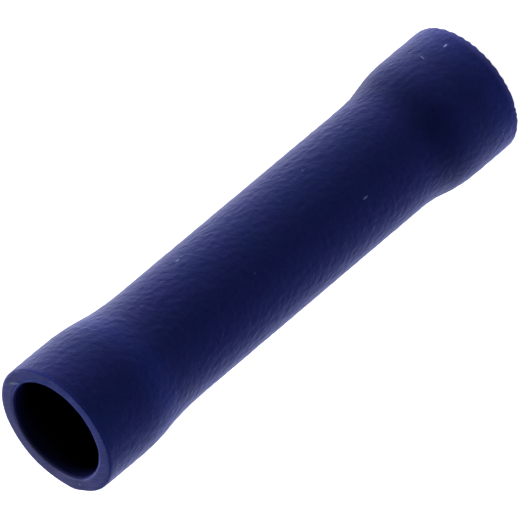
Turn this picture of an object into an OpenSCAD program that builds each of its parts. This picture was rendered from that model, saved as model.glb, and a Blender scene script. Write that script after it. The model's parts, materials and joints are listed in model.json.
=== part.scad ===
// Insulated butt splice connector for two wires joined end to end.
// A soft sleeve with flared wire entries grips a metal barrel, and a groove
// rolled into the middle of the barrel stops both conductors. The part stands
// on one cut end: z = 0 is that end, and the Z axis runs through both bores.

/* [Sleeve] */
// Overall length of the sleeve
sleeve_l = 25; // [22:0.5:40]
// Inside diameter of each wire entry, which takes the wire's own insulation
entry_bore_d = 4.5; // [4.2:0.1:6]
// Wall of each wire entry
entry_wall = 0.7; // [0.45:0.05:1.2]
// Wall of the grip, the narrow middle of the sleeve
grip_wall = 0.6; // [0.4:0.05:0.85]
// Length of the outside shoulder between an entry and the grip
shoulder_l = 3; // [1.5:0.1:4]
// How far each outside shoulder laps over the end of the barrel
shoulder_lap = 0.4; // [0:0.1:1]
// Rounding of the outside edge at each cut end
rim_r = 0.15; // [0.05:0.05:0.25]
// Rounding of the inside edge at each mouth
mouth_r = 0.2; // [0.05:0.05:0.25]

/* [Barrel] */
// Length of the metal barrel
barrel_l = 15; // [10:0.5:18]
// Outside diameter of the barrel
barrel_d = 4; // [3.4:0.1:4.3]
// Bore of the barrel, which takes a stripped conductor
conductor_bore_d = 2.3; // [1.6:0.1:2.8]
// Depth of the countersink that leads the conductor into the bore
lead_in = 0.3; // [0.1:0.05:0.5]
// Chamfer on the outside edge at each end of the barrel
barrel_chamfer = 0.1; // [0.05:0.05:0.2]

/* [Wire stop] */
// Diameter of the opening that the rolled stop leaves in the conductor bore
stop_bore_d = 1.4; // [1:0.1:1.5]
// Length of the groove that is rolled into the outside of the barrel
stop_l = 2.6; // [1.6:0.1:4]
// Wall under the bottom of the groove
stop_wall = 0.8; // [0.6:0.05:0.85]

/* [Fit] */
// Radial clearance between the barrel and the grip around it
barrel_clearance = 0.01; // [0:0.01:0.05]

/* [Hidden] */
$fn = 180;

// How far a cut runs past the face that it opens
overrun = 1;

// Radii
entry_bore_r = entry_bore_d / 2;
entry_r = entry_bore_r + entry_wall;
barrel_r = barrel_d / 2;
seat_r = barrel_r + barrel_clearance;
grip_r = seat_r + grip_wall;
conductor_r = conductor_bore_d / 2;
stop_r = stop_bore_d / 2;
groove_r = stop_r + stop_wall;

// Heights of the lower half, which the upper half mirrors about mid_z
mid_z = sleeve_l / 2;
barrel_z = mid_z - barrel_l / 2;
grip_z = barrel_z + shoulder_lap;
entry_l = grip_z - shoulder_l;
stop_z = mid_z - stop_l / 2;

// Section from the axis out to r, between two heights in either order
module band(r, z_a, z_b) {
    translate([0, min(z_a, z_b)]) square([r, abs(z_b - z_a)]);
}

// Section from the axis out to a straight slope between two heights
module slope(r_a, z_a, r_b, z_b) {
    polygon([[0, z_a], [r_a, z_a], [r_b, z_b], [0, z_b]]);
}

// Section from the axis out to an S curve of two equal tangent arcs, which
// leads from the wide end to the narrow end and is parallel to Z at both
module shoulder(wide_r, wide_z, narrow_r, narrow_z) {
    step = wide_r - narrow_r;
    run = narrow_z - wide_z;
    arc_r = (run * run + step * step) / (4 * step);
    turn_z = (wide_z + narrow_z) / 2;
    intersection() {
        band(wide_r, wide_z, turn_z);
        translate([wide_r - arc_r, wide_z]) circle(arc_r);
    }
    difference() {
        band(wide_r, turn_z, narrow_z);
        translate([narrow_r + arc_r, narrow_z]) circle(arc_r);
    }
}

// Draws a half section and its mirror image in the plane half-way up
module both_ends() {
    children();
    translate([0, sleeve_l]) mirror([0, 1]) children();
}

// Half section inside the sleeve's outside surface, with a rounded rim
module sleeve_outside() {
    band(grip_r, rim_r, mid_z);
    shoulder(entry_r, entry_l, grip_r, grip_z);
    band(entry_r, rim_r, entry_l);
    band(entry_r - rim_r, 0, entry_l);
    translate([entry_r - rim_r, rim_r]) circle(rim_r);
}

// Half section inside the sleeve's bore: a rounded mouth, the wire entry, a
// shoulder that ends at the barrel, and the seat of the barrel
module sleeve_bore() {
    band(seat_r, -overrun, mid_z);
    shoulder(entry_bore_r, entry_l, seat_r, barrel_z);
    band(entry_bore_r, -overrun, entry_l);
    difference() {
        band(entry_bore_r + mouth_r, -overrun, mouth_r);
        translate([entry_bore_r + mouth_r, mouth_r]) circle(mouth_r);
    }
}

// Half section inside the barrel's outside surface: a chamfered edge, the
// straight tube and one flank of the rolled groove
module barrel_outside() {
    slope(barrel_r - barrel_chamfer, barrel_z, barrel_r, barrel_z + barrel_chamfer);
    band(barrel_r, barrel_z + barrel_chamfer, stop_z);
    shoulder(barrel_r, stop_z, groove_r, mid_z);
}

// Half section inside the barrel's bore: a countersink, the conductor bore and
// one flank of the bead that the groove raises
module barrel_bore() {
    band(conductor_r + lead_in, barrel_z - overrun, barrel_z);
    slope(conductor_r + lead_in, barrel_z, conductor_r, barrel_z + lead_in);
    band(conductor_r, barrel_z, stop_z);
    shoulder(conductor_r, stop_z, stop_r, mid_z);
}

// Soft plastic sleeve: two flared wire entries and the grip between them
module insulating_sleeve() {
    color([0.09, 0.10, 0.27])
    rotate_extrude() difference() {
        both_ends() sleeve_outside();
        both_ends() sleeve_bore();
    }
}

// Tinned copper tube with a countersunk bore and a rolled wire stop
module crimp_barrel() {
    color([0.78, 0.79, 0.78])
    rotate_extrude() difference() {
        both_ends() barrel_outside();
        both_ends() barrel_bore();
    }
}

insulating_sleeve();
crimp_barrel();
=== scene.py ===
# %% [markdown]
# # Insulated butt splice connector
# The real object joins two stripped wires end to end. A soft blue sleeve with flared wire entries
# grips a tinned metal barrel, and the barrel is crimped on both conductors.
# This lesson dresses its CAD model. The CAD part is loaded as a fixed frame first, because both pieces
# take their sizes from it.

# %% Load the frame
import json
import math
import bmesh
import bpy
from mathutils import Matrix, Vector, noise


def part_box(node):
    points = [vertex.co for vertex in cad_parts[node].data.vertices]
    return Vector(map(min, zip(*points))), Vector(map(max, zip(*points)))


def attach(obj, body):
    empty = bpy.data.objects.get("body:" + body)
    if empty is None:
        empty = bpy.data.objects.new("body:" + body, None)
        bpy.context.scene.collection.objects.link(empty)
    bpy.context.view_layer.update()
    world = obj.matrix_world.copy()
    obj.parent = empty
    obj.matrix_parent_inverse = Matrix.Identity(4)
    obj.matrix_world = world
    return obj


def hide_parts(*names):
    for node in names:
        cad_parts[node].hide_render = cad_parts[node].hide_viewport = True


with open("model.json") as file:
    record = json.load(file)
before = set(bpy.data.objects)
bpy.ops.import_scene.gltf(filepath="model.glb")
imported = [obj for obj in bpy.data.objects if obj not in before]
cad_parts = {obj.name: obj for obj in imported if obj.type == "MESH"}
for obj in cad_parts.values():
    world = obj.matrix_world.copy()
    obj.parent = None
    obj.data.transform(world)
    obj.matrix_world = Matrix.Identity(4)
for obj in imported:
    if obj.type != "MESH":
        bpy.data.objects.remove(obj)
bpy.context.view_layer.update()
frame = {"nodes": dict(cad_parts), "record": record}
MM = 0.001

# %% [markdown]
# ## Reading the sleeve from the CAD solid
# The sleeve is a body of revolution, so its form is a handful of radii and heights. They could be
# typed in again, but then the scene and the CAD model could drift apart. The CAD mesh has a ring of
# vertices wherever its section turns, so the radius and height of each ring give all that is needed.

# %% Rings of a CAD node
TOUCH = 0.001 * MM
RAY_START = 0.1


def off_axis(place):
    """Distance of a place from the Z axis."""
    return math.hypot(place.x, place.y)


def rings_of(node_name):
    """Radius and height of every ring of vertices on a turned CAD node."""
    return {(off_axis(v.co), v.co.z) for v in frame["nodes"][node_name].data.vertices}


def heights_at(rings, radius):
    """Heights of the rings that have this radius, lowest first."""
    return sorted(z for r, z in rings if abs(r - radius) < TOUCH)


def radii_at(rings, height):
    """Radii of the rings that lie at this height, smallest first."""
    return sorted(r for r, z in rings if abs(z - height) < TOUCH)


def wall_at(node_name, height, outside):
    """Radius of a turned node's wall at a height, found by a ray along X."""
    start = Vector((RAY_START if outside else 0, 0, height))
    way = Vector((-1 if outside else 1, 0, 0))
    place = frame["nodes"][node_name].ray_cast(start, way)[1]
    return off_axis(place)


# %% Sizes of the sleeve
mounts = {m["name"]: m for m in frame["record"]["mounts"]}
sleeve_rings = rings_of("insulating_sleeve")
sleeve_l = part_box("insulating_sleeve")[1].z
mid_z = sleeve_l / 2
entry_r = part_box("insulating_sleeve")[1].x
entry_bore_r = mounts["wire_entry_top"]["dims"]["r_mm"] * MM
entry_wall = entry_r - entry_bore_r
wall_mid_r = (entry_r + entry_bore_r) / 2
grip_r = wall_at("insulating_sleeve", mid_z, True)
seat_r = wall_at("insulating_sleeve", mid_z, False)
entry_z = [z for z in heights_at(sleeve_rings, entry_r) if z < mid_z][-1]
grip_z = heights_at(sleeve_rings, grip_r)[0]
bore_z = [z for z in heights_at(sleeve_rings, entry_bore_r) if z < mid_z][-1]
seat_z = heights_at(sleeve_rings, seat_r)[0]
cut_face_r = radii_at(sleeve_rings, 0)[-1]
rim_round = entry_r - cut_face_r
print("sleeve in mm: length", round(sleeve_l / MM, 3), "entry radius", round(entry_r / MM, 3),
      "grip radius", round(grip_r / MM, 3), "seat radius", round(seat_r / MM, 3))
print("heights in mm: entry", round(entry_z / MM, 3), "grip", round(grip_z / MM, 3),
      "bore", round(bore_z / MM, 3), "seat", round(seat_z / MM, 3),
      "rim rounding", round(rim_round / MM, 3))

# %% [markdown]
# ## Camera
# The photograph looks at one end of the connector from about thirty degrees off its side. The
# connector stands on its other end here, so the camera looks down by that angle and is rolled until
# the tube runs across the picture. A long lens far away keeps the tube's sides almost parallel.

# %% Camera
CAMERA_RISE = math.radians(30.4)
CAMERA_ROLL = math.radians(130.1)
CAMERA_DISTANCE = 449.3 * MM
CAMERA_LENS = 769.7
AIM_RIGHT = -0.1193 * MM
AIM_UP = -0.1002 * MM

back = Vector((0, -math.cos(CAMERA_RISE), math.sin(CAMERA_RISE)))
side = Vector((1, 0, 0))
rise = back.cross(side)
right = side * math.cos(CAMERA_ROLL) - rise * math.sin(CAMERA_ROLL)
up = side * math.sin(CAMERA_ROLL) + rise * math.cos(CAMERA_ROLL)
aim = Vector((0, 0, mid_z)) + right * AIM_RIGHT + up * AIM_UP
camera_data = bpy.data.cameras.new("photo_camera")
camera_data.lens = CAMERA_LENS
camera_data.dof.use_dof = False
camera = bpy.data.objects.new("photo_camera", camera_data)
bpy.context.scene.collection.objects.link(camera)
camera.matrix_world = Matrix((right, up, back)).transposed().to_4x4()
camera.location = aim + back * CAMERA_DISTANCE
bpy.context.scene.camera = camera
print("camera at", [round(c / MM, 1) for c in camera.location], "mm")

# %% [markdown]
# ## The sleeve's section
# The real sleeve starts as a plain soft tube, and each end is widened over a mandrel, which leaves a
# smooth S between the entry and the grip. A lathe is the natural tool: four corners make a wire
# section, a vertex bevel rounds them, the long edges are subdivided, and every new point is moved to
# the S curve. The rings lie close together, because the ripple of the skin is made with them later.

# %% Helpers for a turned piece
MERGE = 0.0001 * MM
ROUND_PROFILE = 0.5


def shoulder(z, wide_r, wide_z, narrow_r, narrow_z, brow=0.5):
    """Radius at z of two arcs from a wide to a narrow stretch; brow is the share of the first arc."""
    step = wide_r - narrow_r
    run = narrow_z - wide_z
    full_r = (run ** 2 + step ** 2) / (2 * step)
    along = min(max(z - wide_z, 0), run)
    if along < run * brow:
        arc_r = full_r * brow
        return wide_r - arc_r + math.sqrt(arc_r ** 2 - along ** 2)
    arc_r = full_r * (1 - brow)
    return narrow_r + arc_r - math.sqrt(arc_r ** 2 - (run - along) ** 2)


def wire_section(inner_r, outer_r, low_z, high_z):
    """A wire rectangle in the XZ plane: the section of a plain tube."""
    bm = bmesh.new()
    corners = ((inner_r, low_z), (outer_r, low_z), (outer_r, high_z), (inner_r, high_z))
    points = [bm.verts.new((r, 0, z)) for r, z in corners]
    for start, end in zip(points, points[1:] + points[:1]):
        bm.edges.new((start, end))
    return bm


def bevel_points(bm, points, offset, segments):
    """Bevels points of a wire section."""
    bmesh.ops.bevel(bm, geom=points, offset=offset, offset_type="OFFSET", segments=segments,
                    profile=ROUND_PROFILE, affect="VERTICES", material=-1)


def bevel_corners(bm, radius, offset, segments):
    """Bevels the corners of a wire section that lie at a radius."""
    bevel_points(bm, [v for v in bm.verts if abs(v.co.x - radius) < TOUCH], offset, segments)


def long_edge(bm, radius):
    """The upright edge of a wire section at a radius."""
    return [e for e in bm.edges if all(abs(v.co.x - radius) < TOUCH for v in e.verts)]


def flat_edges(bm):
    """The level edges of a wire section, which become its cut ends."""
    return [e for e in bm.edges if abs(e.verts[0].co.z - e.verts[1].co.z) < TOUCH]


def turn(bm, steps):
    """Spins a wire section once round the Z axis and points its faces outwards."""
    bmesh.ops.spin(bm, geom=bm.verts[:] + bm.edges[:], cent=(0, 0, 0), axis=(0, 0, 1),
                   angle=2 * math.pi, steps=steps, use_merge=True)
    bmesh.ops.remove_doubles(bm, verts=bm.verts, dist=MERGE)
    bmesh.ops.recalc_face_normals(bm, faces=bm.faces)


# %% [markdown]
# ## How the ends came out
# A soft tube that is widened by hand tools never comes out quite like its drawing. In the photograph
# the upper shoulder runs further into the grip, the lower entry is a trace wider, and both entries draw
# in again at their very ends and have gone slightly oval. The upper one leans to one side, and its bore
# is off centre, a little oval the other way, and dented where the blade came out. None of this moves the
# wall by more than about a tenth of a millimetre, too little for the CAD model, but a straight outline
# and even shading would look like plastic pipe. So the lathe's curve gets these few values of its own.

# %% Sleeve, curve of its ends
UPPER_BROW_Z = -0.15 * MM
UPPER_FOOT_Z = 0.85 * MM
UPPER_BROW = 0.42
LOWER_BROW_Z = -0.1 * MM
LOWER_FOOT_Z = -0.15 * MM
LOWER_WIDER = 0.012 * MM
GRIP_WIDER = 0.01 * MM
DRAWN_IN = 0.01 * MM
DRAWN_IN_L = 1.8 * MM


def smooth_step(value):
    """Rises from 0 to 1 with level ends."""
    value = min(max(value, 0), 1)
    return value * value * (3 - 2 * value)


def outside_r(z):
    """Radius of the sleeve's outside at a height, with the two ends as they came out."""
    end_gap = min(z, sleeve_l - z)
    drawn_in = DRAWN_IN * max(0, 1 - end_gap / DRAWN_IN_L) ** 2
    narrow_r = grip_r + GRIP_WIDER
    if z > mid_z:
        formed = shoulder(end_gap, entry_r, entry_z + UPPER_BROW_Z,
                          narrow_r, grip_z + UPPER_FOOT_Z, UPPER_BROW)
    else:
        formed = shoulder(end_gap, entry_r + LOWER_WIDER, entry_z + LOWER_BROW_Z,
                          narrow_r, grip_z + LOWER_FOOT_Z)
    return formed - drawn_in


def inside_r(z):
    """Radius of the sleeve's bore at a height."""
    return shoulder(min(z, sleeve_l - z), entry_bore_r, bore_z, seat_r, seat_z)


def outward(place):
    """Level unit vector that points from the Z axis to a place."""
    return Vector((place.x, place.y, 0)).normalized()


def swelling(place, angle, half):
    """Falls off from 1 at an angle round Z to almost nothing at twice half from there."""
    away = math.remainder(math.atan2(place.y, place.x) - angle, 2 * math.pi) / half
    return math.exp(-away ** 2)


for name, z in (("lower entry", entry_z), ("grip", mid_z), ("upper entry", sleeve_l - entry_z)):
    print(name, "in mm: radius outside", round(outside_r(z) / MM, 3), "inside", round(inside_r(z) / MM, 3))

# %% Sleeve, smooth
OUTSIDE_RINGS = 300
INSIDE_RINGS = 40
CUT_RINGS = 4
ROUND_SEGMENTS = 5
SLEEVE_STEPS = 240
RIM_EDGE = 0.1 * MM
MOUTH_EDGE = 0.12 * MM
LEAN = 0.03 * MM
LEAN_L = 5.5 * MM
BORE_ASIDE = Vector((0.035, -0.03, 0)) * MM
BORE_OVAL = 0.02
DENT_ANGLE = math.radians(148)
DENT_HALF = math.radians(24)
DENT = 0.1 * MM
OVAL = 0.0045
OVAL_FROM = 7 * MM
OVAL_L = 4 * MM

sleeve_bm = wire_section(entry_bore_r, entry_r, 0, sleeve_l)
bevel_corners(sleeve_bm, entry_r, RIM_EDGE, ROUND_SEGMENTS)
bevel_corners(sleeve_bm, entry_bore_r, MOUTH_EDGE, ROUND_SEGMENTS)
bmesh.ops.subdivide_edges(sleeve_bm, edges=flat_edges(sleeve_bm), cuts=CUT_RINGS)
bmesh.ops.subdivide_edges(sleeve_bm, edges=long_edge(sleeve_bm, entry_r), cuts=OUTSIDE_RINGS)
bmesh.ops.subdivide_edges(sleeve_bm, edges=long_edge(sleeve_bm, entry_bore_r), cuts=INSIDE_RINGS)
for v in sleeve_bm.verts:
    if v.co.x > wall_mid_r:
        v.co.x += outside_r(v.co.z) - entry_r
    elif abs(v.co.x - entry_bore_r) < TOUCH:
        v.co.x = inside_r(v.co.z)
turn(sleeve_bm, SLEEVE_STEPS)
lean_z = sleeve_l - LEAN_L
for v in sleeve_bm.verts:
    depth = outside_r(v.co.z) - off_axis(v.co)
    upper = smooth_step((v.co.z - lean_z) / LEAN_L)
    inward = upper * smooth_step(depth / entry_wall)
    dent = outward(v.co) * DENT * swelling(v.co, DENT_ANGLE, DENT_HALF)
    v.co += (BORE_ASIDE + dent) * inward
    v.co.y *= 1 + BORE_OVAL * inward
    v.co.x += LEAN * upper
    oval = OVAL * smooth_step((abs(v.co.z - mid_z) - OVAL_FROM) / OVAL_L)
    v.co.x *= 1 + oval
    v.co.y *= 1 - oval
print("sleeve:", len(sleeve_bm.verts), "vertices,", len(sleeve_bm.faces), "faces")

# %% [markdown]
# ## The sleeve's skin
# The soft plastic isn't smooth: its skin has a fine relief like the peel of an orange, and the blade
# that cut the tube left small scallops along one rim, slightly aslant, and a burr on the other. A bump
# map would give the shading alone, so the relief is real: noise pushes each vertex in or out by about a
# hundredth of a millimetre. The dimples are shorter along one slanting direction, as if the skin had
# been drawn when it was warm. The noise is read at the vertex's own place in space, so it closes round
# the tube without a seam.

# %% Relief and cut ends
DIMPLE_PITCH = 0.26 * MM
DIMPLE_HEIGHT = 0.017 * MM
SLANT = Vector((0, -0.86, 0.51))
SQUEEZE = 1.5
SCALLOP_COUNT = 42
SCALLOP_DEPTH = 0.03 * MM
SCALLOP_STRAY = 1.0
SCALLOP_EVEN = 0.6
SCALLOP_UNEVEN = 0.4
CUT_PITCH = 0.9 * MM
CUT_DEPTH = 0.02 * MM
CUT_FADE = 0.35 * MM
LOWER_SLANT = 0.055 * MM
BURR_ANGLE = math.radians(139)
BURR_HALF = math.radians(7)
BURR_OUT = 0.045 * MM


def dimples(place):
    """Height of the skin's relief at a place on the outside."""
    squeezed = place + SLANT * (SQUEEZE - 1) * place.dot(SLANT)
    return DIMPLE_HEIGHT * noise.noise(squeezed / DIMPLE_PITCH)


def cut_mark(place):
    """How far a cut end stands out or back at a place; the lower rim has scallops on its outer edge."""
    upper = place.z > mid_z
    on_rim = outward(place) * entry_r + Vector((0, 0, sleeve_l * upper))
    slow = noise.noise(on_rim / CUT_PITCH)
    if upper:
        return CUT_DEPTH * slow
    phase = SCALLOP_COUNT * math.atan2(place.y, place.x) + 2 * math.pi * SCALLOP_STRAY * slow
    outer_edge = smooth_step((off_axis(place) - cut_face_r) / rim_round + 1)
    scallop = outer_edge * math.sin(phase) * (SCALLOP_EVEN + SCALLOP_UNEVEN * slow)
    return SCALLOP_DEPTH * scallop + CUT_DEPTH * slow - LOWER_SLANT * place.x / entry_r


def burr(place):
    """How far the upper rim bulges out at a place, where the blade left the plastic."""
    if place.z < mid_z:
        return 0
    return BURR_OUT * swelling(place, BURR_ANGLE, BURR_HALF)


sleeve_bm.normal_update()
moves = []
for v in sleeve_bm.verts:
    end_gap = min(v.co.z, sleeve_l - v.co.z)
    near_end = smooth_step(1 - end_gap / CUT_FADE)
    move = Vector((0, 0, cut_mark(v.co) * near_end))
    if off_axis(v.co) > wall_mid_r - rim_round:
        move += v.normal * dimples(v.co) * smooth_step(end_gap / CUT_FADE)
        move += outward(v.co) * burr(v.co) * near_end
    moves.append((v, move))
for v, move in moves:
    v.co += move
print("relief reaches", round(DIMPLE_HEIGHT / MM, 4), "mm, scallops", round(SCALLOP_DEPTH / MM, 4), "mm")

# %% Sleeve, finished mesh
def finish_piece(bm, name):
    """Makes an object of a bmesh, shaded smooth, with its place in its mesh."""
    for face in bm.faces:
        face.smooth = True
    mesh = bpy.data.meshes.new(name)
    bm.to_mesh(mesh)
    bm.free()
    piece = bpy.data.objects.new(name, mesh)
    bpy.context.scene.collection.objects.link(piece)
    return piece


sleeve = finish_piece(sleeve_bm, "flared_sleeve")
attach(sleeve, "root")
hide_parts("insulating_sleeve")
print(sleeve.name, "has", len(sleeve.data.polygons), "faces")

# %% [markdown]
# ## The barrel
# The metal barrel is a short piece of drawn tube. Its ends are chamfered outside and countersunk
# inside, and a groove rolled into the middle raises a bead in the bore that stops both wires. It is
# turned from a wire section too: one bevel makes the chamfers, and a second, small one breaks their
# edges, because on real metal the light always catches an edge.

# %% Sizes of the barrel
barrel_rings = rings_of("crimp_barrel")
barrel_low, barrel_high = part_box("crimp_barrel")
barrel_r = barrel_high.x
conductor_r = mounts["conductor_bore_top"]["dims"]["r_mm"] * MM
stop_r = wall_at("crimp_barrel", mid_z, False)
groove_r = wall_at("crimp_barrel", mid_z, True)
stop_z = [z for z in heights_at(barrel_rings, conductor_r) if z < mid_z][-1]
barrel_face = radii_at(barrel_rings, barrel_low.z)
lead_in = barrel_face[0] - conductor_r
chamfer = barrel_r - barrel_face[-1]
print("barrel in mm: radius", round(barrel_r / MM, 3), "bore radius", round(conductor_r / MM, 3),
      "stop opening", round(2 * stop_r / MM, 3), "chamfer", round(chamfer / MM, 3))

# %% Barrel
BARREL_RINGS = 150
BARREL_STEPS = 128
EDGE_BREAK = 0.025 * MM
EDGE_SEGMENTS = 3

barrel_bm = wire_section(conductor_r, barrel_r, barrel_low.z, barrel_high.z)
bevel_corners(barrel_bm, barrel_r, chamfer, 1)
bevel_corners(barrel_bm, conductor_r, lead_in, 1)
bevel_points(barrel_bm, barrel_bm.verts[:], EDGE_BREAK, EDGE_SEGMENTS)
for wall_r in (barrel_r, conductor_r):
    bmesh.ops.subdivide_edges(barrel_bm, edges=long_edge(barrel_bm, wall_r), cuts=BARREL_RINGS)
for v in barrel_bm.verts:
    end_gap = min(v.co.z, sleeve_l - v.co.z)
    if abs(v.co.x - barrel_r) < TOUCH:
        v.co.x = shoulder(end_gap, barrel_r, stop_z, groove_r, mid_z)
    elif abs(v.co.x - conductor_r) < TOUCH:
        v.co.x = shoulder(end_gap, conductor_r, stop_z, stop_r, mid_z)
turn(barrel_bm, BARREL_STEPS)
barrel = finish_piece(barrel_bm, "tinned_barrel")
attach(barrel, "root")
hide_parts("crimp_barrel")
print(barrel.name, "has", len(barrel.data.polygons), "faces")

# %% [markdown]
# ## Building materials from nodes
# Every finish below is a small tree of shader nodes. The same few steps come again and again: put two
# values together, map one range to another, blend two colours. Each is a short function that adds its
# node and gives back the socket, so that a material reads like a recipe.

# %% Node helpers
def add_node(tree, kind, **settings):
    """Adds a node to a tree and sets its properties."""
    node = tree.nodes.new(kind)
    for name, value in settings.items():
        setattr(node, name, value)
    return node


def add_math(tree, operation, first, second=0.0):
    """A math node on two values, each a socket or a number."""
    node = add_node(tree, "ShaderNodeMath", operation=operation)
    for socket, value in zip(node.inputs, (first, second)):
        if isinstance(value, float):
            socket.default_value = value
        else:
            tree.links.new(value, socket)
    return node.outputs["Value"]


def add_vector_math(tree, operation, first, second, result="Vector"):
    """A vector math node on two sockets."""
    node = add_node(tree, "ShaderNodeVectorMath", operation=operation)
    tree.links.new(first, node.inputs[0])
    tree.links.new(second, node.inputs["Scale" if operation == "SCALE" else 1])
    return node.outputs[result]


def add_range(tree, value, low, high, to_low=0, to_high=1, shape="LINEAR"):
    """Maps a socket from one range to another."""
    node = add_node(tree, "ShaderNodeMapRange", interpolation_type=shape)
    for name, number in zip(("From Min", "From Max", "To Min", "To Max"), (low, high, to_low, to_high)):
        node.inputs[name].default_value = number
    tree.links.new(value, node.inputs["Value"])
    return node.outputs["Result"]


def add_blend(tree, factor, first, second):
    """Mixes two colours, each a socket or an RGB value, by a factor socket."""
    node = add_node(tree, "ShaderNodeMix", data_type="RGBA")
    tree.links.new(factor, node.inputs["Factor"])
    for name, colour in (("A", first), ("B", second)):
        socket = next(s for s in node.inputs if s.name == name and s.type == "RGBA")
        if isinstance(colour, tuple):
            socket.default_value = (*colour, 1)
        else:
            tree.links.new(colour, socket)
    return next(s for s in node.outputs if s.type == "RGBA")


def add_bump(tree, height, depth):
    """Turns a height socket into a normal, with the depth in metres."""
    node = add_node(tree, "ShaderNodeBump")
    node.inputs["Strength"].default_value = 1
    node.inputs["Distance"].default_value = depth
    tree.links.new(height, node.inputs["Height"])
    return node.outputs["Normal"]


def own_place(tree):
    """Socket of the piece's own coordinates."""
    return add_node(tree, "ShaderNodeTexCoord").outputs["Object"]


def own_axis(tree, axis):
    """Socket of one of the piece's own coordinates."""
    split = add_node(tree, "ShaderNodeSeparateXYZ")
    tree.links.new(own_place(tree), split.inputs["Vector"])
    return split.outputs[axis]


def new_material(name):
    """A node material and its Principled shader."""
    material = bpy.data.materials.new(name)
    material.use_nodes = True
    return material, material.node_tree.nodes["Principled BSDF"]


# %% [markdown]
# ## A grain for the materials
# Plastic and metal each have a grain that is shorter one way than the other: the sleeve's is squeezed
# along its slant, and the barrel's is drawn out along its axis by the die. One node group gives both: it
# reads the piece's own coordinates, scales them along one direction and puts out noise.

# %% Grain node group
UP = Vector((0, 0, 1))
GRAIN_LOW = 0.3
GRAIN_HIGH = 0.7


def grain_group():
    """Group with a grain's pitch, direction and squeeze along it as inputs and its height as output."""
    tree = bpy.data.node_groups.new("drawn_grain", "ShaderNodeTree")
    tree.interface.new_socket("Direction", in_out="INPUT", socket_type="NodeSocketVector")
    for name in ("Pitch", "Squeeze", "Detail"):
        tree.interface.new_socket(name, in_out="INPUT", socket_type="NodeSocketFloat")
    tree.interface.new_socket("Height", in_out="OUTPUT", socket_type="NodeSocketFloat")
    start = add_node(tree, "NodeGroupInput").outputs
    end = add_node(tree, "NodeGroupOutput").inputs
    place = own_place(tree)
    along = add_vector_math(tree, "DOT_PRODUCT", place, start["Direction"], "Value")
    more = add_math(tree, "MULTIPLY", along, add_math(tree, "SUBTRACT", start["Squeeze"], 1.0))
    shift = add_vector_math(tree, "SCALE", start["Direction"], more)
    squeezed = add_vector_math(tree, "ADD", place, shift)
    grain = add_node(tree, "ShaderNodeTexNoise")
    tree.links.new(squeezed, grain.inputs["Vector"])
    tree.links.new(add_math(tree, "DIVIDE", 1.0, start["Pitch"]), grain.inputs["Scale"])
    tree.links.new(start["Detail"], grain.inputs["Detail"])
    tree.links.new(grain.outputs["Fac"], end["Height"])
    return tree


drawn_grain = grain_group()


def add_grain(tree, pitch, direction=UP, squeeze=1, detail=2):
    """Places the grain group in a material, with its pitch in metres."""
    node = add_node(tree, "ShaderNodeGroup", node_tree=drawn_grain)
    node.inputs["Direction"].default_value = direction.normalized()
    node.inputs["Pitch"].default_value = pitch
    node.inputs["Squeeze"].default_value = squeeze
    node.inputs["Detail"].default_value = detail
    return node.outputs["Height"]


print("node group", drawn_grain.name, "with", len(drawn_grain.nodes), "nodes")

# %% [markdown]
# ## Flecks
# A sleeve that has lain loose among others carries a few light flecks: specks of dust, a short
# scratch, a nick in the rim. Some of the flecks on the skin are painted highlights instead: glints on
# small dents. Each is a small ellipse in the piece's own coordinates. A node group gives
# the mask of one, from its centre, the direction it is long in, its length and its width, so that one
# group serves them all and a fleck can be added in one line.

# %% Fleck node group
FLECK_OUTLINE = 0.25
FLECK_FULL = 0.05


def fleck_group():
    """Group with a fleck's centre, direction, length and width as inputs and its mask as output."""
    tree = bpy.data.node_groups.new("fleck", "ShaderNodeTree")
    for name in ("Centre", "Direction"):
        tree.interface.new_socket(name, in_out="INPUT", socket_type="NodeSocketVector")
    for name in ("Length", "Width"):
        tree.interface.new_socket(name, in_out="INPUT", socket_type="NodeSocketFloat")
    tree.interface.new_socket("Mask", in_out="OUTPUT", socket_type="NodeSocketFloat")
    start = add_node(tree, "NodeGroupInput").outputs
    end = add_node(tree, "NodeGroupOutput").inputs
    offset = add_vector_math(tree, "SUBTRACT", own_place(tree), start["Centre"])
    along = add_vector_math(tree, "DOT_PRODUCT", offset, start["Direction"], "Value")
    on_axis = add_vector_math(tree, "SCALE", start["Direction"], along)
    aside = add_vector_math(tree, "DISTANCE", offset, on_axis, "Value")
    along_share = add_math(tree, "DIVIDE", along, start["Length"])
    aside_share = add_math(tree, "DIVIDE", aside, start["Width"])
    squares = add_math(tree, "ADD", add_math(tree, "POWER", along_share, 2.0),
                       add_math(tree, "POWER", aside_share, 2.0))
    tree.links.new(add_range(tree, squares, FLECK_OUTLINE, FLECK_FULL), end["Mask"])
    return tree


fleck = fleck_group()


def add_fleck(tree, colour, fleck_colour, centre, direction, length, width, strength):
    """Blends a fleck over a colour socket; strength is how far it covers the colour below."""
    node = add_node(tree, "ShaderNodeGroup", node_tree=fleck)
    node.inputs["Centre"].default_value = centre
    node.inputs["Direction"].default_value = direction.normalized()
    node.inputs["Length"].default_value = length
    node.inputs["Width"].default_value = width
    mask = add_math(tree, "MULTIPLY", node.outputs["Mask"], strength)
    return add_blend(tree, mask, colour, fleck_colour)


print("node group", fleck.name, "with", len(fleck.nodes), "nodes")
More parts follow.
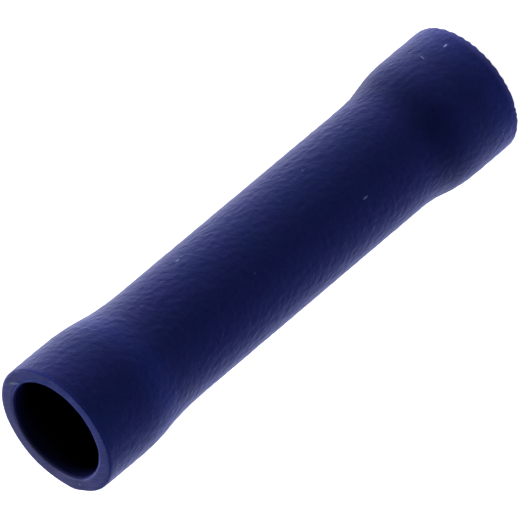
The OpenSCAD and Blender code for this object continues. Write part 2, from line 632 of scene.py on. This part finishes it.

# %% [markdown]
# ## Blue plastic
# The sleeve is soft PVC, coloured dark blue right through, with a satin skin. It hardly mirrors what
# is in front of it, but towards its outline it lightens to a greyish violet, as a skin with a very
# fine texture does. So the plastic's own colour is dark, the shader has no gloss, and a strong bluish
# sheen lies over it. Noise varies its colour, roughness and finest relief, and the low places of that
# relief are painted a little darker, as painted shade. Bands along Z paint light and shade into the
# colour: the upper shoulder is painted paler and the lower end paler again, as painted light, and the
# lower shoulder is painted darker, as painted shade. On the -Y side the very edge of each rim is painted
# lighter, a painted highlight. Here and there a tiny bubble has left a pit, painted darker as painted
# shade. Pits lie at random, about one to a square millimetre, so they come from a Voronoi texture: the skin
# dips wherever it passes close to one of its points.

# %% Masks of the skin
PIT_SPACING = 0.7 * MM
PIT_REACH = 0.09 * MM


def add_pits(tree):
    """Mask of small scattered pits."""
    points = add_node(tree, "ShaderNodeTexVoronoi")
    points.inputs["Scale"].default_value = 1 / PIT_SPACING
    tree.links.new(own_place(tree), points.inputs["Vector"])
    return add_range(tree, points.outputs["Distance"], PIT_REACH / PIT_SPACING, 0)


def add_band(tree, height, middle, half, strength=1):
    """Mask that is strongest at one height and fades to nothing at half its width."""
    away = add_math(tree, "ABSOLUTE", add_math(tree, "SUBTRACT", height, middle))
    return add_range(tree, away, half, 0, 0, strength, "SMOOTHSTEP")


def on_skin(degrees, height):
    """The place on the sleeve's outside at an angle round Z from +X and a height."""
    around = math.radians(degrees)
    radius = outside_r(height)
    return Vector((radius * math.cos(around), radius * math.sin(around), height))


# %% Sleeve colour
NAVY_VIOLET = (0.0114, 0.0148, 0.103)
NAVY_BLUE = (0.0093, 0.0168, 0.102)
UPPER_PAINTED_LIGHT = (0.0126, 0.0206, 0.144)
LOWER_PAINTED_SHADE = (0.0052, 0.0091, 0.062)
END_PAINTED_LIGHT = (0.0179, 0.0266, 0.163)
LOWER_EDGE_LIGHT = (0.085, 0.094, 0.355)
UPPER_EDGE_LIGHT = (0.021, 0.034, 0.23)
NAVY_SHADE = (0.0026, 0.0044, 0.031)
MOTTLE_PITCH = 1.4 * MM
MOTTLE_LOW = 0.35
MOTTLE_HIGH = 0.65
SKIN_PITCH = 0.13 * MM
UPPER_HALF = 1.3 * MM
UPPER_STRENGTH = 0.9
SHOULDER_HALF = 1.5 * MM
SHOULDER_STRENGTH = 0.85
END_HALF = 2 * MM
LOWER_EDGE_HALF = 0.4 * MM
UPPER_EDGE_HALF = 0.15 * MM
GRAIN_SHADE = 0.24
PIT_SHADE = 0.4

plastic, plastic_shader = new_material("blue_soft_plastic")
tree = plastic.node_tree
mottle = add_range(tree, add_grain(tree, MOTTLE_PITCH), MOTTLE_LOW, MOTTLE_HIGH)
body_colour = add_blend(tree, mottle, NAVY_VIOLET, NAVY_BLUE)

height = own_axis(tree, "Z")
upper_z = sleeve_l - entry_z - UPPER_HALF
shoulder_z = (entry_z + grip_z) / 2
# Painted light and shade: paler bands on the upper shoulder and at the lower end, a darker band on the
# lower shoulder.
for band_z, half, strength, tone in ((upper_z, UPPER_HALF, UPPER_STRENGTH, UPPER_PAINTED_LIGHT),
                                     (shoulder_z, SHOULDER_HALF, SHOULDER_STRENGTH, LOWER_PAINTED_SHADE),
                                     (0.0, END_HALF, 1, END_PAINTED_LIGHT)):
    body_colour = add_blend(tree, add_band(tree, height, band_z, half, strength), body_colour, tone)
# Painted highlight: on the -Y side the very edge of each rim is painted lighter.
edge_light_side = add_range(tree, own_axis(tree, "Y"), -entry_r / 3, -entry_r)
for edge_z, half, tone in ((0.0, LOWER_EDGE_HALF, LOWER_EDGE_LIGHT), (sleeve_l, UPPER_EDGE_HALF, UPPER_EDGE_LIGHT)):
    edge = add_math(tree, "MULTIPLY", add_band(tree, height, edge_z, half), edge_light_side)
    body_colour = add_blend(tree, edge, body_colour, tone)

skin = add_grain(tree, SKIN_PITCH, SLANT, SQUEEZE)
pits = add_pits(tree)
# Painted shade: the low places of the fine relief, and the pits, are painted darker.
painted_hollow_shade = add_range(tree, skin, GRAIN_LOW, GRAIN_HIGH, GRAIN_SHADE, 0)
body_colour = add_blend(tree, painted_hollow_shade, body_colour, NAVY_SHADE)
body_colour = add_blend(tree, add_math(tree, "MULTIPLY", pits, PIT_SHADE), body_colour, NAVY_SHADE)
print("colour of", plastic.name, "has", len(tree.nodes), "nodes")

# %% Sleeve material
FLECK_AND_GLINT_COLOUR = (0.22, 0.26, 0.42)
SCRATCH_WAY = Vector((-0.72, -0.69, 0.26))
SKIN_DEPTH = 0.016 * MM
SATIN_ROUGHNESS = (0.45, 0.6)
SHEEN_WEIGHT = 0.9
SHEEN_ROUGHNESS = 0.36
SHEEN_TINT = (0.733, 0.745, 1, 1)

# Each fleck or painted glint: angle in degrees, height in mm, direction, length and width in mm, strength
SKIN_FLECKS_AND_GLINTS = ((-52, 0.82, UP, 0.26, 0.1, 1.0),
               (-35.9, 16.54, UP, 0.3, 0.1, 0.6),
               (-108.2, 8.48, UP, 0.32, 0.1, 0.48),
               (-50.6, 9.65, UP, 0.18, 0.12, 0.12),
               (-46.2, 1.91, SCRATCH_WAY, 0.36, 0.07, 0.45),
               (-96, 14.8, UP, 0.12, 0.1, 0.15))

for degrees, fleck_z, way, length, width, strength in SKIN_FLECKS_AND_GLINTS:
    centre = on_skin(degrees, fleck_z * MM)
    body_colour = add_fleck(tree, body_colour, FLECK_AND_GLINT_COLOUR, centre, way, length * MM, width * MM, strength)
satin = add_range(tree, skin, GRAIN_LOW, GRAIN_HIGH, *SATIN_ROUGHNESS)
relief = add_bump(tree, add_math(tree, "SUBTRACT", skin, pits), SKIN_DEPTH)
tree.links.new(body_colour, plastic_shader.inputs["Base Color"])
tree.links.new(satin, plastic_shader.inputs["Roughness"])
tree.links.new(relief, plastic_shader.inputs["Normal"])
plastic_shader.inputs["Specular IOR Level"].default_value = 0
plastic_shader.inputs["Sheen Weight"].default_value = SHEEN_WEIGHT
plastic_shader.inputs["Sheen Roughness"].default_value = SHEEN_ROUGHNESS
plastic_shader.inputs["Sheen Tint"].default_value = SHEEN_TINT
sleeve.data.materials.append(plastic)
print("material", plastic.name, "has", len(tree.nodes), "nodes and", len(SKIN_FLECKS_AND_GLINTS), "flecks")

# %% [markdown]
# ## Cut faces and bore
# The blade that cut the tube opened fresh plastic without the skin, so both cut faces are lighter, partly
# as painted light that the low panels don't give them, have no sheen and carry faint lines where the blade
# was drawn across. They are also painted paler and greyer towards +Y, a painted sheen, and bluer towards
# -Y.
# Inside the mouth the same plastic is painted darker, as painted shade, and within a sixth of a millimetre
# it is nearly black. A material of its own does both, because sheen is one number for a whole material.
# The faces that get it are those that look along the axis and those that lie inside the middle of the wall.

# %% Cut plastic
CUT_BLUE = (0.068, 0.088, 0.32)
CUT_PALE = (0.16, 0.16, 0.34)
CUT_FLECK = (0.36, 0.42, 0.6)
NAVY_MOUTH_SHADE = (0.022, 0.026, 0.095)
NAVY_BORE_SHADE = (0.004, 0.005, 0.025)
CREASE_WAY = Vector((0.39, 0.92, 0))
BLADE_PITCH = 0.07 * MM
BLADE_LENGTH = 0.7 * MM
BLADE_SHARE = 0.6
MOUTH_SHADE_REACH = 0.05 * MM
BORE_SHADE_REACH = 0.16 * MM
CUT_ROUGHNESS = (0.5, 0.7)

# Each fleck on the upper cut: X and Y in mm, direction, length and width in mm, strength
RIM_FLECKS = ((2.55, 0.08, CREASE_WAY, 0.8, 0.16, 0.6),
              (-2.22, 1.33, UP, 0.2, 0.2, 0.4))

cut_plastic, cut_shader = new_material("cut_soft_plastic")
tree = cut_plastic.node_tree
drag = add_grain(tree, BLADE_PITCH, CREASE_WAY, BLADE_PITCH / BLADE_LENGTH)
# Painted sheen: the cut faces are painted paler and greyer towards +Y and bluer towards -Y.
across = add_range(tree, own_axis(tree, "Y"), -entry_r, entry_r)
blade_lines = add_range(tree, drag, GRAIN_LOW, GRAIN_HIGH, -BLADE_SHARE / 2, BLADE_SHARE / 2)
sheen_side_and_lines = add_range(tree, add_math(tree, "ADD", across, blade_lines), 0, 1)
cut_colour = add_blend(tree, sheen_side_and_lines, CUT_BLUE, CUT_PALE)
# Painted shade: below the cut edge the mouth is painted darker, and further into the bore nearly black.
from_middle = add_math(tree, "ABSOLUTE", add_math(tree, "SUBTRACT", own_axis(tree, "Z"), mid_z))
mouth_shade = add_range(tree, from_middle, mid_z, mid_z - MOUTH_SHADE_REACH, shape="SMOOTHSTEP")
cut_colour = add_blend(tree, mouth_shade, cut_colour, NAVY_MOUTH_SHADE)
bore_shade = add_range(tree, from_middle, mid_z, mid_z - BORE_SHADE_REACH)
cut_colour = add_blend(tree, bore_shade, cut_colour, NAVY_BORE_SHADE)
for x, y, way, length, width, strength in RIM_FLECKS:
    centre = Vector((x * MM, y * MM, sleeve_l))
    cut_colour = add_fleck(tree, cut_colour, CUT_FLECK, centre, way, length * MM, width * MM, strength)
dragged = add_range(tree, drag, GRAIN_LOW, GRAIN_HIGH, *CUT_ROUGHNESS)
tree.links.new(cut_colour, cut_shader.inputs["Base Color"])
tree.links.new(dragged, cut_shader.inputs["Roughness"])
cut_shader.inputs["Specular IOR Level"].default_value = 0
print("material", cut_plastic.name, "has", len(tree.nodes), "nodes")

# %% Faces with the cut plastic
LEVEL_FACE = 0.95
CUT_SLOT = 1

sleeve.data.materials.append(cut_plastic)
for face in sleeve.data.polygons:
    depth = outside_r(face.center.z) - off_axis(face.center)
    if depth > entry_wall / 2 or abs(face.normal.z) > LEVEL_FACE:
        face.material_index = CUT_SLOT
print("cut plastic on", sum(f.material_index == CUT_SLOT for f in sleeve.data.polygons), "faces")

# %% [markdown]
# ## Tin plate
# The barrel is copper with a bright coat of tin. Drawn tube keeps fine lines along its length, and
# the tin dulls unevenly, so the grain group is stretched along the bore for the lines, and a second
# one, even both ways, varies the colour and the roughness.

# %% Barrel material
TIN_BRIGHT = (0.74, 0.74, 0.72)
TIN_DULL = (0.58, 0.57, 0.55)
TARNISH_PITCH = 0.9 * MM
TARNISH_DETAIL = 3
TARNISH_LOW = 0.35
TARNISH_HIGH = 0.7
TIN_ROUGHNESS = (0.2, 0.42)
LINE_PITCH = 0.08 * MM
LINE_LENGTH = 4 * MM
LINE_DEPTH = 0.002 * MM

tin, tin_shader = new_material("tin_plate")
tree = tin.node_tree
tarnish = add_grain(tree, TARNISH_PITCH, detail=TARNISH_DETAIL)
tin_colour = add_blend(tree, add_range(tree, tarnish, TARNISH_LOW, TARNISH_HIGH), TIN_BRIGHT, TIN_DULL)
dulled = add_range(tree, tarnish, GRAIN_LOW, GRAIN_HIGH, *TIN_ROUGHNESS)
die_lines = add_grain(tree, LINE_PITCH, UP, LINE_PITCH / LINE_LENGTH)
tree.links.new(tin_colour, tin_shader.inputs["Base Color"])
tree.links.new(dulled, tin_shader.inputs["Roughness"])
tree.links.new(add_bump(tree, die_lines, LINE_DEPTH), tin_shader.inputs["Normal"])
tin_shader.inputs["Metallic"].default_value = 1
barrel.data.materials.append(tin)
print("material", tin.name, "has", len(tree.nodes), "nodes")

# %% [markdown]
# ## Floor and background
# The photograph's background is plain white. A floor that only light made white would flood the
# connector with light, so the floor and the world show themselves white to the camera and in
# reflections alone. Part of the floor's colour is still real shading, so that the connector keeps a soft
# shadow where it stands and gets some light from below.

# %% Floor and world
FLOOR_HALF = 1.5
FLOOR_COLOUR = (0.8, 0.8, 0.8, 1)
FLOOR_GLOW = 0.95
WHITE = (1, 1, 1, 1)


def seen_directly(tree):
    """Socket that is 1 for camera, mirror and see-through rays, and 0 for the rest."""
    path = add_node(tree, "ShaderNodeLightPath").outputs
    mirrored = add_math(tree, "MAXIMUM", path["Is Camera Ray"], path["Is Glossy Ray"])
    return add_math(tree, "MAXIMUM", mirrored, path["Is Transmission Ray"])


floor_bm = bmesh.new()
bmesh.ops.create_grid(floor_bm, x_segments=1, y_segments=1, size=FLOOR_HALF)
lowest = min(v.co.z for v in sleeve.data.vertices)
bmesh.ops.translate(floor_bm, vec=(0, 0, lowest), verts=floor_bm.verts)
floor = finish_piece(floor_bm, "floor")
floor_material, floor_shader = new_material("pale_floor")
tree = floor_material.node_tree
floor_shader.inputs["Base Color"].default_value = FLOOR_COLOUR
floor_shader.inputs["Roughness"].default_value = 1
floor_shader.inputs["Specular IOR Level"].default_value = 0
floor_shader.inputs["Emission Color"].default_value = WHITE
glow = add_range(tree, seen_directly(tree), 0, 1, 0, FLOOR_GLOW)
tree.links.new(glow, floor_shader.inputs["Emission Strength"])
floor.data.materials.append(floor_material)

world = bpy.data.worlds.new("white_surround")
world.use_nodes = True
bpy.context.scene.world = world
tree = world.node_tree
tree.nodes["Background"].inputs["Color"].default_value = WHITE
tree.links.new(seen_directly(tree), tree.nodes["Background"].inputs["Strength"])
print("floor", 2 * FLOOR_HALF, "m wide at", round(lowest / MM, 3), "mm")

# %% [markdown]
# ## Lights
# In the photograph both sides of the tube are light and the side that faces the camera is dark, so
# the light comes from the left and the right, from low enough not to shine down the bore. A soft panel
# stands beside the connector on each side and another behind it on each side. The left one is the
# strongest, and those on the right are slightly cooler. A weak one in front keeps the middle of the tube
# from going black. The camera doesn't see them.

# %% Soft panels
PANEL_DISTANCE = 0.35
PANEL_WIDTH = 0.34
PANEL_HEIGHT = 0.065
PANEL_RISE = math.radians(9)
NEUTRAL = (1, 1, 1)
COOL = (0.68, 0.74, 1)


def soft_panel(name, degrees, power, colour):
    """An area light that faces the connector, at an angle round Z from +X, low above the floor."""
    light = bpy.data.lights.new(name, "AREA")
    light.shape = "RECTANGLE"
    light.size = PANEL_WIDTH
    light.size_y = PANEL_HEIGHT
    light.energy = power
    light.color = colour
    panel = bpy.data.objects.new(name, light)
    bpy.context.scene.collection.objects.link(panel)
    around = math.radians(degrees)
    level = PANEL_DISTANCE * math.cos(PANEL_RISE)
    target = Vector((0, 0, mid_z))
    offset = (level * math.cos(around), level * math.sin(around), PANEL_DISTANCE * math.sin(PANEL_RISE))
    panel.location = target + Vector(offset)
    panel.rotation_euler = (target - panel.location).to_track_quat("-Z", "Y").to_euler()
    panel.visible_camera = False
    print(name, "at", [round(c, 3) for c in panel.location], "m,", power, "W")


soft_panel("front_panel", -90, 0.25, NEUTRAL)
soft_panel("left_panel", 15, 2.08, NEUTRAL)
soft_panel("left_back_panel", 45, 1.03, NEUTRAL)
soft_panel("right_back_panel", 125, 1.06, COOL)
soft_panel("right_panel", 165, 0.9, COOL)

# %% [markdown]
# ## View
# The Standard view transform shows colours as they are written.

# %% Finish
bpy.context.scene.view_settings.view_transform = "Standard"
